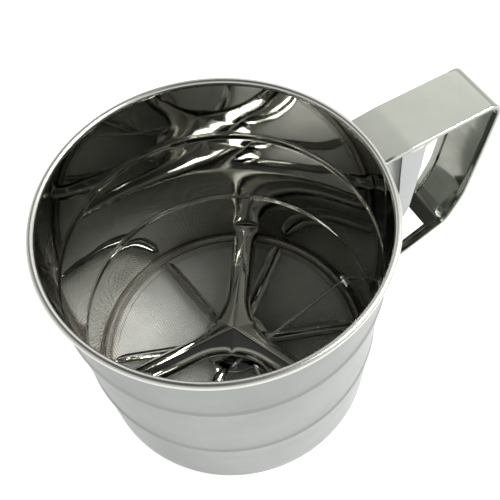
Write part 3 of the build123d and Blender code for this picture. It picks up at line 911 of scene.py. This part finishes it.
@dataclass
class Agitator:
    """Scraper wheel: stamped hub and six blades, its bush and the crank eye."""

    crank: Pair
    hub_r: float = 12.5
    hub_z: float = 4.2
    sheet: float = 0.8
    reach: float = 45.4
    blades: int = 6
    start: float = -22.0
    half_w: float = 2.2
    low: float = 2.9
    tilt_up: float = 0.4
    root_in: float = 3.0
    tip_power: float = 2.2
    bush_r: float = 3.6
    axle_r: float = 2.0
    bush_low: float = 3.60
    bush_top: float = 11.9
    tip_l: float = 6.0
    fold: float = 0.8
    fold_w: float = 0.28
    tip_drop: float = 0.35

    def blade(self, sheaf: Sheaf, angle: float) -> None:
        """One blade: a sloping ridged section along its length that narrows to a round tip.

        The underside at y is the mean of the low and high edges plus their slope
        times y, with a soft fold along its middle, and it starts flat at the hub.

        Args:
            sheaf: gathers the blade's surfaces.
            angle: direction of the blade in degrees.
        """
        tip_x = self.reach - self.tip_l
        x = np.concatenate([np.linspace(self.hub_r - self.root_in, tip_x, 16),
                            tip_x + self.tip_l * np.sin(np.linspace(0, np.pi / 2, 12))[1:]])[:, None]
        t = np.clip((x - tip_x) / self.tip_l, 0, 1)
        s = np.linspace(-1, 1, 15)[None]
        y = self.half_w * np.sqrt(np.maximum(1 - t ** self.tip_power, 0.02)) * s
        high = self.hub_z + self.tilt_up
        fold = self.fold * np.exp(-(s / self.fold_w) ** 2)
        shape = (self.low + high) / 2 + (high - self.low) / 2 * s + fold
        root = np.clip((x - self.hub_r + 1.0) / self.root_in, 0, 1)
        under = self.hub_z * (1 - root) + shape * root
        under = self.low + (under - self.low) * (1 - self.tip_drop * t)
        upper, lower = (np.stack([x + 0 * y, y, z], -1) for z in (under + self.sheet, under))
        sheaf.tube(np.concatenate([upper, lower[:, ::-1]], 1) @ spin(angle))

    def build(self, bench: Bench) -> None:
        """Makes and fits the agitator's pieces."""
        sheaf = Sheaf()
        top = self.hub_z + self.sheet
        hub = np.array([(self.bush_r, self.hub_z), (self.hub_r - 0.3, self.hub_z),
                        (self.hub_r, self.hub_z + 0.25), (self.hub_r, top - 0.25),
                        (self.hub_r - 0.3, top), (self.bush_r, top)])
        sheaf.add(lathe(hub, circle(120)), quads(120, len(hub), True, True))
        for k in range(self.blades):
            self.blade(sheaf, self.start + 360.0 * k / self.blades)
        bench.fit(sheaf.solid("scraper_wheel", 42.0), "agitator", BLADE_STEEL, "agitator_rotor")
        r0 = self.axle_r + 0.05
        bush = np.array([(r0, self.bush_low), (self.bush_r, self.bush_low),
                         (self.bush_r, top), (5.2, top), (5.4, top + 0.2), (5.2, top + 0.8),
                         (self.bush_r + 0.2, top + 0.8), (self.bush_r, top + 1.0),
                         (self.bush_r, self.bush_top - 0.3), (self.bush_r - 0.3, self.bush_top),
                         (r0, self.bush_top)])
        bench.fit(turned("wheel_bush", bush), "agitator", PIN_STEEL, "rotor_bush")
        eye = washer_profile(0.65, 1.25, top, top + 0.5, 0.15)
        bench.fit(turned("crank_eye", eye, 32, self.crank), "agitator", PIN_STEEL, "crank_eyelet")


@dataclass
class Axle:
    """Axle pin with its head, clip and two washers."""

    pad_z: float = 13.4
    radius: float = 2.0
    low: float = 2.5
    head_h: float = 1.0
    washer: Pair = (2.15, 3.9)
    washer_h: float = 0.4
    clip_r: float = 3.8
    clip_h: float = 0.5

    def build(self, bench: Bench) -> None:
        """Makes and fits the axle's pieces."""
        head = self.pad_z - self.head_h
        pin = [(0.0, self.low), (self.radius - 0.25, self.low), (self.radius, self.low + 0.25),
               (self.radius, head), (3.2, head), (3.4, head + 0.2), (3.4, self.pad_z), (0.0, self.pad_z)]
        bench.fit(turned("axle_stud", pin, 48), "cup", PIN_STEEL, "axle_pin")
        clip_z = self.low + 0.15
        clip_top = clip_z + self.clip_h
        for name, z, node in (("upper_washer", head - self.washer_h, "axle_washer_top"),
                              ("lower_washer", clip_top, "axle_washer_base")):
            ring = washer_profile(*self.washer, z, z + self.washer_h)
            bench.fit(turned(name, ring), "cup", PIN_STEEL, node)
        section = washer_profile(self.radius, self.clip_r, clip_z, clip_top)
        sheaf = Sheaf()
        sheaf.tube(lathe(section, np.radians(np.linspace(14.0, 346.0, 60))))
        bench.fit(sheaf.solid("axle_snap"), "cup", SPRING_STEEL, "axle_clip")


@dataclass
class Rod:
    """Push rod of bent wire, its stop collar and its washer."""

    crank: Pair
    end_y: float = 2.65
    radius: float = 0.6
    bend: float = 1.3
    hub_z: float = 4.2
    below_hub: float = 0.9
    past_tail: float = 3.2
    hook: float = 4.2
    collar_r: float = 1.35
    washer_r: float = 1.7
    washer_h: float = 0.5

    def build(self, bench: Bench) -> None:
        """Makes and fits the rod's pieces."""
        start = np.array([*self.crank, ROD_Z])
        way = np.array([TAIL_X - self.crank[0], self.end_y - self.crank[1], 0.0])
        way /= np.linalg.norm(way)
        stop = start + way * ((TAIL_X - self.crank[0]) / way[0] + self.past_tail)
        down = np.array([0.0, 0.0, 1.0])
        corners = np.array([start - down * (ROD_Z - self.hub_z + self.below_hub), start, stop,
                            stop - down * self.hook])
        path = round_path(corners, (self.bend, self.bend), 10, 6.0)
        sheaf = Sheaf()
        sheaf.tube(wire_rings(path, self.radius, np.array([-way[1], way[0], 0.0]), 16))
        bench.fit(sheaf.solid("pull_rod"), "rod", PIN_STEEL, "push_rod", slot="rod_wire")
        collar = washer_profile(self.radius, self.collar_r, self.hub_z - 0.8, self.hub_z - 0.1, 0.2)
        bench.fit(turned("rod_collar", collar, 32, self.crank), "rod", PIN_STEEL, "rod_stop")
        x = TAIL_X + 0.8
        y = self.crank[1] + way[1] / way[0] * (x + self.washer_h / 2 - self.crank[0])
        ring = lathe(washer_profile(self.radius + 0.15, self.washer_r, x, x + self.washer_h), circle(40))
        grid = np.stack([ring[..., 2], ring[..., 0] + y, ring[..., 1] + ROD_Z], -1)
        bench.fit(ring_skin("tail_washer", grid), "rod", PIN_STEEL, "rod_washer")


@dataclass
class Handle:
    """Strip handle with folded edges, and the pivot hardware under its top arm."""

    wall_r: float
    reach: float
    pivot: Pair
    arm_z: float = 86.4
    knee: Pair = (60.0, 87.55)
    out_z: float = 88.1
    width: float = 19.0
    sheet: float = 0.8
    hem: float = 2.6
    tab_low: float = 72.0
    low_z: float = 15.4
    split_z: float = 40.0      # the strip's lower arm lies below this
    slot_x: Pair = (62.0, 80.0)
    slot_half: float = 5.3
    bends: tuple[float, ...] = (1.8, 30.0, 5.5, 24.0, 24.0, 8.0, 3.0)
    cheek: float = 0.8
    cheek_gap: float = 0.15
    cheek_half: float = 4.5
    cheek_drop: float = 2.6
    pin_r: float = 1.0
    spacer: float = 0.5

    @property
    def cheek_y(self) -> float:
        """Distance of the bracket's outer faces from the middle."""
        return self.width / 2 - self.hem - self.cheek_gap

    def line(self) -> Array:
        """Outer face of the strip in X and Z: straight runs with a round bend at each corner."""
        r = self.reach
        pts = np.array([(self.wall_r, self.tab_low), (self.wall_r, self.arm_z),
                        self.knee, (r, self.out_z),
                        (r - 1.0, 70.0), (r - 3.2, 43.0), (r - 8.2, 30.6),
                        (self.wall_r, self.low_z), (self.wall_r, self.low_z + 9.0)])
        return round_path(pts, self.bends, 14, 3.0)

    def strip(self) -> bpy.types.Object:
        """Sweep of the folded section along the line.

        A point of the section (y, depth) lands at the line's point minus depth
        times its outward normal; the fold fades in past the tabs by a smooth step.
        """
        path = self.line()
        ends = []
        for edge in self.slot_x:
            far = np.where(path[:, 1] < self.split_z, np.abs(path[:, 0] - edge), np.inf)
            k = int(np.argmin(far))
            t = (edge - path[k, 0]) / (path[k + 1, 0] - path[k - 1, 0])
            path[k] += (path[k + 1] - path[k - 1]) * t
            ends.append(k)
        inward = tangents(path)[:, ::-1] * np.array([1.0, -1.0])
        h, w, t, s = self.width / 2, self.hem, self.sheet, self.slot_half
        half_top = np.array([(h - 0.22, 0.0), (h - 1.2, 0.0), (h - w, 0.0), (s, 0.0)])
        edge = np.array([(h - 0.06, 0.10), (h, 0.45), (h, 1.15), (h - 0.08, 1.50)])
        fold = np.array([(h - 0.35, 1.6), (h - w + 0.1, 1.6), (h - w, 1.5), (h - w, t)])
        mirror = np.array([-1.0, 1.0])
        under = [(s, t), (0.0, t), (-s, t)]
        section = np.concatenate([half_top * mirror, [(0.0, 0.0)], half_top[::-1], edge, fold, under,
                                  fold[::-1] * mirror, edge[::-1] * mirror])
        past = smooth_step((path[:, 0] - self.wall_r - 1.6) / 1.6)
        deep = section[None, :, 1]
        depth = np.where(deep > t, t + (deep - t) * past[:, None], deep)
        xz = path[:, None] + inward[:, None] * depth[..., None]
        y = np.broadcast_to(section[None, :, 0], depth.shape)
        n, m = depth.shape
        keep, sides = opening((n - 1, m), (min(ends), max(ends)), (3, 4, 5), (19, 18, 17))
        sheaf = Sheaf()
        sheaf.tube(np.stack([xz[..., 0], y, xz[..., 1]], -1), keep, sides)
        deepest = self.sheet * 0.6

        def within(points: Array) -> Array:
            """1 on the inward face of the strip, where it takes painted shade, by distance from the outer
            line.
            """
            gap = np.hypot(points[:, None, 0] - path[None, :, 0], points[:, None, 2] - path[None, :, 1])
            return np.min(gap, axis=1) > deepest
        return sheaf.solid("handle_band", 32.0, values=within, label="within")

    def arm_under(self, x: Array) -> Array:
        """Height of the top arm's underside at x."""
        share = (x - self.knee[0]) / (self.reach - self.knee[0])
        return self.knee[1] - self.sheet + (self.out_z - self.knee[1]) * share

    def across_y(self, name: str, profile: Sequence[Sequence[float]]) -> bpy.types.Object:
        """Turns a closed (radius, y) profile about the pivot line."""
        grid = lathe(np.asarray(profile), circle(32))[..., [0, 2, 1]]
        return ring_skin(name, grid + np.array([self.pivot[0], 0.0, self.pivot[1]]))

    def saddle(self) -> bpy.types.Object:
        """Pivot bracket: a folded U section carried along X, its cheeks rounded below."""
        out, t = self.cheek_y, self.cheek
        u = np.sin(np.linspace(-1, 1, 17) * np.pi / 2)
        x = self.pivot[0] + self.cheek_half * u
        low = self.pivot[1] - self.cheek_drop * np.sqrt(np.maximum(1 - u ** 4, 0.0))
        top = self.arm_under(x) - 0.002
        base = np.minimum(low, top - t - 0.6)
        ring = [(-out, base), (-out, top), (out, top), (out, base),
                (out - t, base), (out - t, top - t), (t - out, top - t), (t - out, base)]
        sheaf = Sheaf()
        sheaf.tube(np.stack([np.stack([x, y + 0 * x, z], -1) for y, z in ring], 1))
        return sheaf.solid("pivot_saddle", 30.0)

    def build(self, bench: Bench) -> None:
        """Makes and fits the handle's pieces."""
        # The strip's inward face and folds take the darker finish, which is painted shade.
        bench.fit(self.strip(), "cup", HANDLE_STEEL, "handle_strip", others=(HANDLE_INSIDE_SHADE,), mask="within")
        bench.fit(self.saddle(), "cup", HANDLE_STEEL, "pivot_bracket")
        out = self.cheek_y
        inner = out - self.cheek
        r = self.pin_r
        pin = [(0.0, -out - 0.7), (r + 0.3, -out - 0.7), (r + 0.8, -out - 0.35), (r + 0.8, -out),
               (r, -out), (r, out + 0.75), (r - 0.15, out + 0.9), (0.0, out + 0.9)]
        clip = washer_profile(r, r + 0.9, out, out + self.spacer)
        right = washer_profile(r, r + 1.0, -inner, self.spacer - inner)
        left = washer_profile(r, r + 1.0, inner - self.spacer, inner)
        for name, profile, finish, node in (
                ("hinge_pin", pin, PIN_STEEL, "pivot_pin"), ("hinge_clip", clip, SPRING_STEEL, "pin_clip"),
                ("hinge_spacer_right", right, PIN_STEEL, "spacer_right"),
                ("hinge_spacer_left", left, PIN_STEEL, "spacer_left")):
            bench.fit(self.across_y(name, profile), "cup", finish, node)


@dataclass
class Trigger:
    """Squeeze trigger: tapered channel with a flat tail, and its torsion spring."""

    pivot: Pair
    half_w: float = 5.35
    sheet: float = 0.8
    round_r: float = 0.7
    tail_half: float = 4.6
    tail_low: float = 3.2
    tail_top: float = 34.0
    top_z: float = 82.4
    window_y: Pair = (0.13, 3.63)
    window_z: Pair = (-1.6, 1.0)
    ear_r: tuple[float, float, float] = (3.6, 2.4, 1.5)      # below, beside and above the pin
    coil_r: float = 2.0
    coil_wire: float = 0.35
    coil_half: float = 1.9
    turns: float = 4.0

    def web_x(self, z: Array) -> Array:
        """Front face of the web, by straight lines between heights from the tail to the top."""
        return np.interp(z, (0.0, 34.0, 36.0, 47.0, 68.0, 78.5, 82.4),
                         (66.1, 66.1, 66.1, 64.6, 62.0, 60.9, 61.2))

    def depth(self, z: Array) -> Array:
        """How far the side walls reach back from the web's front face, by straight lines."""
        return np.interp(z, (0.0, 36.0, 46.0, 69.0, 80.5, 83.0), (0.8, 0.8, 5.1, 8.25, 9.3, 8.0))

    def plan(self, z: Array) -> Array:
        """Half width: the tail's below, widening by a straight line over 26 mm."""
        t = np.clip((z - self.tail_top) / 26.0, 0, 1)
        return self.tail_half + (self.half_w - self.tail_half) * t

    def channel(self) -> bpy.types.Object:
        """Sections of a U, one at each height, joined; the rod window's cells are left out."""
        z0, z1 = (ROD_Z + edge for edge in self.window_z)
        z = np.unique(np.concatenate([np.linspace(self.tail_low, self.tail_top, 9), [z0, z1],
                                      np.linspace(self.tail_top, 48, 15), np.linspace(48, self.top_z, 24)]))
        x, d, h = self.web_x(z), np.maximum(self.depth(z), self.sheet + 0.01), self.plan(z)
        t, e = self.sheet, self.round_r
        w0, w1 = self.window_y
        rows = [(x + d, -h), (x + e, -h), (x + 0.2, -h + 0.25), (x, -h + e), (x, w0),
                (x, w1), (x, h - e), (x + 0.2, h - 0.25), (x + e, h), (x + d, h),
                (x + d, h - t), (x + t + 0.01, h - t), (x + t, h - t - 0.1), (x + t, w1),
                (x + t, w0), (x + t, -h + t + 0.1), (x + t + 0.01, -h + t), (x + d, -h + t)]
        grid = np.stack([np.stack([a, b + 0 * z, z], -1) for a, b in rows], 1)
        low, high = (int(np.argmin(np.abs(z - edge))) for edge in (z0, z1))
        keep, sides = opening((len(z) - 1, len(rows)), (low, high), (4, 5), (14, 13))
        sheaf = Sheaf()
        sheaf.tube(grid, keep, sides)
        for ring in self.ears():
            sheaf.tube(ring)
        return sheaf.solid("squeeze_lever", 32.0, merge=1e-7)

    def ears(self) -> list[Array]:
        """Round ears that carry the channel's sides up round the pivot pin."""
        px, pz = self.pivot
        a = circle(32)
        below, beside, above = self.ear_r
        under = np.sin(a) < 0
        ring = np.stack([px + np.where(under, below, beside) * np.cos(a), 0 * a,
                         pz + np.where(under, below, above) * np.sin(a)], -1)
        return [np.stack([ring + np.array([0, y, 0]) for y in (y0 + 0.01, y0 + self.sheet - 0.01)])
                for y0 in (-self.half_w, self.half_w - self.sheet)]

    def spring(self) -> bpy.types.Object:
        """Torsion coil: a helix about the pin, a leg on the web and a leg under the arm."""
        r, half = self.coil_r, self.coil_half
        px, pz = self.pivot
        t = np.linspace(0, 1, 97)
        a = 2 * np.pi * self.turns + t * (np.pi / 2 - 2 * np.pi * self.turns)
        coil = np.stack([px + r * np.cos(a), half * (2 * t - 1), pz + r * np.sin(a)], -1)
        lead = run((px - 3.4, -half, pz - 9.0), coil[0], 8)[:-1]
        tail = run(coil[-1], (px - 8.0, half, pz + r + 0.3), 8)[1:]
        path = np.concatenate([lead, coil, tail])
        side = np.cross(np.array([0.0, 1.0, 0.0]), tangents(path))
        side /= np.linalg.norm(side, axis=1)[:, None]
        sheaf = Sheaf()
        sheaf.tube(wire_rings(path, self.coil_wire, side, 10))
        return sheaf.solid("return_coil", 60.0)

    def build(self, bench: Bench) -> None:
        """Makes and fits the trigger's pieces."""
        bench.fit(self.channel(), "trigger", TRIGGER_STEEL, "trigger_lever")
        bench.fit(self.spring(), "trigger", SPRING_STEEL, "trigger_spring")


@dataclass(frozen=True)
class Softbox:
    """One flat studio light.

    Attributes:
        name: object name.
        at: place in metres.
        aim: point that it faces.
        size: width and height in metres.
        power: watts.
        color: light colour.
    """

    name: str
    at: tuple[float, float, float]
    aim: tuple[float, float, float]
    size: tuple[float, float]
    power: float
    color: tuple[float, float, float] = (1.0, 1.0, 1.0)


@dataclass
class Studio:
    """Floor, surroundings, softboxes and camera."""

    eye: tuple[float, float, float] = (-0.040835, -0.103280, 0.242275)
    right: tuple[float, float, float] = (0.85034, -0.526218, 0.00399)
    up: tuple[float, float, float] = (0.455082, 0.739153, 0.496542)
    focal_px: float = 689.4
    shift: tuple[float, float] = (-0.08, 0.0603)
    stand_r: float = 0.048
    floor_r: float = 3.0
    floor_pale: float = 0.25
    stand_pale: float = 0.55
    glow: float = 0.93
    world: tuple[Pair, ...] = ((0.0, 0.85), (0.42, 0.80), (0.68, 0.50), (0.85, 0.10), (1.0, 0.05))
    picture_px: float = 500.0
    sensor: float = 36.0
    boxes: tuple[Softbox, ...] = (
        Softbox("key_box", (0.60, -0.25, 0.85), (0.0, 0.0, 0.0), (0.35, 0.35), 22.0),
        Softbox("arm_box", (0.50, 0.47, 0.80), (0.07, 0.0, 0.088), (0.6, 0.6), 0.85,
                (1.0, 1.0, 0.98)),
    )

    def floor(self) -> None:
        """Plain pale floor: a wide ring that glows a little, and the shaded disc under the cup."""
        unit = lathe(np.array([(1.0, 0.0)]), circle(96))
        ring = unit * np.array([self.stand_r, self.floor_r])[None, :, None]
        for name, points, faces, glow, pale in (
                ("floor", ring, quads(96, 2, wrap_rows=True).tolist(), self.glow, self.floor_pale),
                ("floor_under_cup", unit * self.stand_r, [list(range(96))], 0.0, self.stand_pale)):
            mesh = bpy.data.meshes.new(name)
            mesh.from_pydata(points.reshape(-1, 3), [], faces)
            mat = bpy.data.materials.new(name + "_white")
            mat.use_nodes = True
            bsdf = mat.node_tree.nodes["Principled BSDF"]
            for label, value in (("Base Color", (pale, pale, pale, 1.0)), ("Roughness", 0.9),
                                 ("Specular IOR Level", 0.1), ("Emission Color", (1.0, 1.0, 1.0, 1.0)),
                                 ("Emission Strength", glow)):
                bsdf.inputs[label].default_value = value
            mesh.materials.append(mat)
            new_object(name, mesh)

    def surroundings(self) -> None:
        """World light: bright near the horizon and dim overhead, a blend on the ray's height."""
        world = bpy.data.worlds.new("studio")
        bpy.context.scene.world = world
        world.use_nodes = True
        graph = Graph(world.node_tree)
        ray = graph.node("TexCoord", {}).outputs["Generated"]
        height = graph.node("SeparateXYZ", {0: ray}).outputs[2]
        ramp = graph.node("ValToRGB", {0: height})
        bar = ramp.color_ramp
        while len(bar.elements) < len(self.world):
            bar.elements.new(0.5)
        for element, (at, value) in zip(bar.elements, self.world):
            element.position = at
            element.color = (value, value, value * 0.985, 1.0)
        back = world.node_tree.nodes["Background"]
        graph.feed(back.inputs[0], ramp.outputs[0])
        graph.feed(back.inputs[1], 1.0)

    def lights(self) -> None:
        """Adds the softboxes."""
        for box in self.boxes:
            data = bpy.data.lights.new(box.name, "AREA")
            data.shape = "RECTANGLE"
            data.size, data.size_y = box.size
            data.energy = box.power
            data.color = box.color
            obj = new_object(box.name, data)
            obj.location = box.at
            way = Vector(box.aim) - Vector(box.at)
            obj.rotation_euler = way.to_track_quat("-Z", "Y").to_euler()

    def camera(self) -> None:
        """Camera at the viewing angle, looking down into the cup."""
        data = bpy.data.cameras.new("camera")
        data.sensor_width = self.sensor
        data.lens = self.sensor * self.focal_px / self.picture_px
        data.shift_x, data.shift_y = self.shift
        data.clip_start, data.clip_end = 0.01, 20.0
        obj = new_object("camera", data)
        right, up = Vector(self.right), Vector(self.up)
        back = right.cross(up)
        turn = Matrix((right, up, back)).transposed().to_4x4()
        obj.matrix_world = Matrix.Translation(self.eye) @ turn
        bpy.context.scene.camera = obj

    def build(self) -> None:
        """Sets the whole stage."""
        self.floor()
        self.surroundings()
        self.lights()
        self.camera()
        bpy.context.scene.view_settings.view_transform = "Standard"


def centre_of(node: str) -> Array:
    """Middle of a CAD node's box in millimetres."""
    low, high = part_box(node)
    return (np.array(low) + np.array(high)) / 2 / MM


def main() -> None:
    """Loads the frame, builds every sub-assembly and sets the stage."""
    logging.basicConfig(level=logging.INFO, format="%(message)s", force=True)
    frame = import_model()
    rim_low, rim_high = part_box("cup_shell")
    handle_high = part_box("handle_strip")[1]
    crank_mid = centre_of("crank_eyelet")
    pin_mid = centre_of("pivot_pin")
    crank = (float(crank_mid[0]), float(crank_mid[1]))
    pivot = (float(pin_mid[0]), float(pin_mid[2]))
    bench = Bench(Paintshop())
    cup = Cup(height=rim_high[2] / MM, rim_r=rim_high[0] / MM)
    cup.build(bench)
    Screen(bore_r=cup.bore_r).build(bench)
    Bridge(bore_r=cup.bore_r).build(bench)
    Agitator(crank=crank).build(bench)
    Axle().build(bench)
    Rod(crank=crank).build(bench)
    Handle(wall_r=cup.wall_r, reach=handle_high[0] / MM + CORNER_PAST, pivot=pivot).build(bench)
    Trigger(pivot=pivot).build(bench)
    left = set(frame["nodes"]) - {n for n in frame["nodes"] if frame["nodes"][n].hide_render}
    LOG.info("%d pieces; CAD nodes still shown: %s", len(bench.made), sorted(left))
    Studio().build()


if __name__ == "__main__":
    main()
